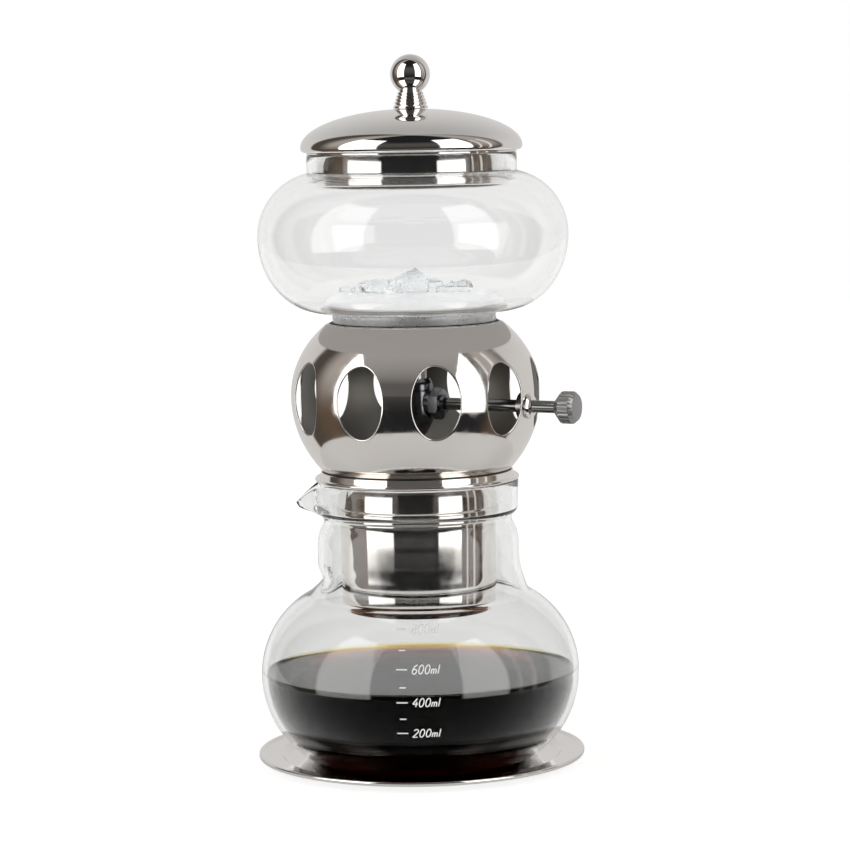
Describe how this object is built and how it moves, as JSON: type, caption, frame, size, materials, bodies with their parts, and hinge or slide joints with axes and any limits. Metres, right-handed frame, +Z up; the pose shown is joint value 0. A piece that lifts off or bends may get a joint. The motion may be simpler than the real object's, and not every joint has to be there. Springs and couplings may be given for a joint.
{
  "type": "cold drip coffee tower",
  "caption": "Small cold drip coffee tower: lidded glass tank over a windowed steel ball with a needle valve, a filter cup hung in a lipped glass server, and a round saucer.",
  "frame": {"origin": "on the tower's axis, in the plane that the saucer stands on", "axes": "+Z up the tower; -Y towards the volume scale; -X towards the pouring lip; the valve stem points 63.5 degrees from -Y towards +X"},
  "size_m": [0.1458, 0.1458, 0.3137],
  "materials": {
    "polished_steel": "polished",
    "cup_steel": "polished",
    "machined_steel": "satin",
    "dark_metal": "satin",
    "tank_glass": "gloss",
    "server_glass": "gloss",
    "black_silicone": "matte",
    "clear_silicone": "matte",
    "coffee": "gloss",
    "water": "gloss",
    "ice": "gloss",
    "mesh_steel": "satin",
    "ptfe": "matte"
  },
  "bodies": {
    "saucer_body": {"saucer": "polished_steel"},
    "server_body": {"server": "server_glass", "brewed_coffee": "coffee"},
    "filter_body": {"filter_cup": "cup_steel", "filter_screen": "mesh_steel"},
    "spreader_body": {"spreader_plate": "machined_steel"},
    "head_body": {"base_seal": "black_silicone", "ball_housing": "polished_steel", "stem_bush": "polished_steel", "bush_nut": "machined_steel", "tank": "tank_glass", "tank_foot_seal": "black_silicone", "tank_water": "water", "ice_cubes": "ice", "drain_tube": "machined_steel", "drain_washer_upper": "clear_silicone", "drain_washer_lower": "clear_silicone", "drain_locknut": "machined_steel", "valve_body": "dark_metal", "drip_nozzle": "machined_steel", "stem_packing": "ptfe", "packing_nut": "machined_steel"},
    "needle_body": {"needle": "machined_steel"},
    "knob_body": {"valve_stem": "machined_steel", "control_knob": "dark_metal", "knob_grub_screw": "machined_steel"},
    "lid_body": {"lid_dome": "polished_steel", "lid_skirt": "polished_steel", "lid_finial": "polished_steel", "finial_washer": "machined_steel", "finial_screw": "machined_steel"}
  },
  "joints": [
    {"name": "server_lift", "type": "slide", "parent": "saucer_body", "child": "server_body", "axis": [0, 0, 1], "range_m": [0, 0.03]},
    {"name": "filter_lift", "type": "slide", "parent": "server_body", "child": "filter_body", "axis": [0, 0, 1], "range_m": [0, 0.065]},
    {"name": "spreader_lift", "type": "slide", "parent": "filter_body", "child": "spreader_body", "axis": [0, 0, 1], "range_m": [0, 0.024]},
    {"name": "head_lift", "type": "slide", "parent": "filter_body", "child": "head_body", "axis": [0, 0, 1], "range_m": [0, 0.03]},
    {"name": "lid_lift", "type": "slide", "parent": "head_body", "child": "lid_body", "axis": [0, 0, 1], "range_m": [0, 0.03]},
    {"name": "needle_travel", "type": "slide", "parent": "head_body", "child": "needle_body", "axis": [0.8949, -0.4462, 0], "range_m": [-0.00035, 0.00075]},
    {"name": "knob_turn", "type": "hinge", "parent": "needle_body", "child": "knob_body", "pos_m": [0, 0, 0.16], "axis": [0.8949, -0.4462, 0], "range_deg": [-250, 540]}
  ],
  "couplings": [
    {"joint": "knob_turn", "follows": "needle_travel", "rad_per_m": 12566}
  ]
}
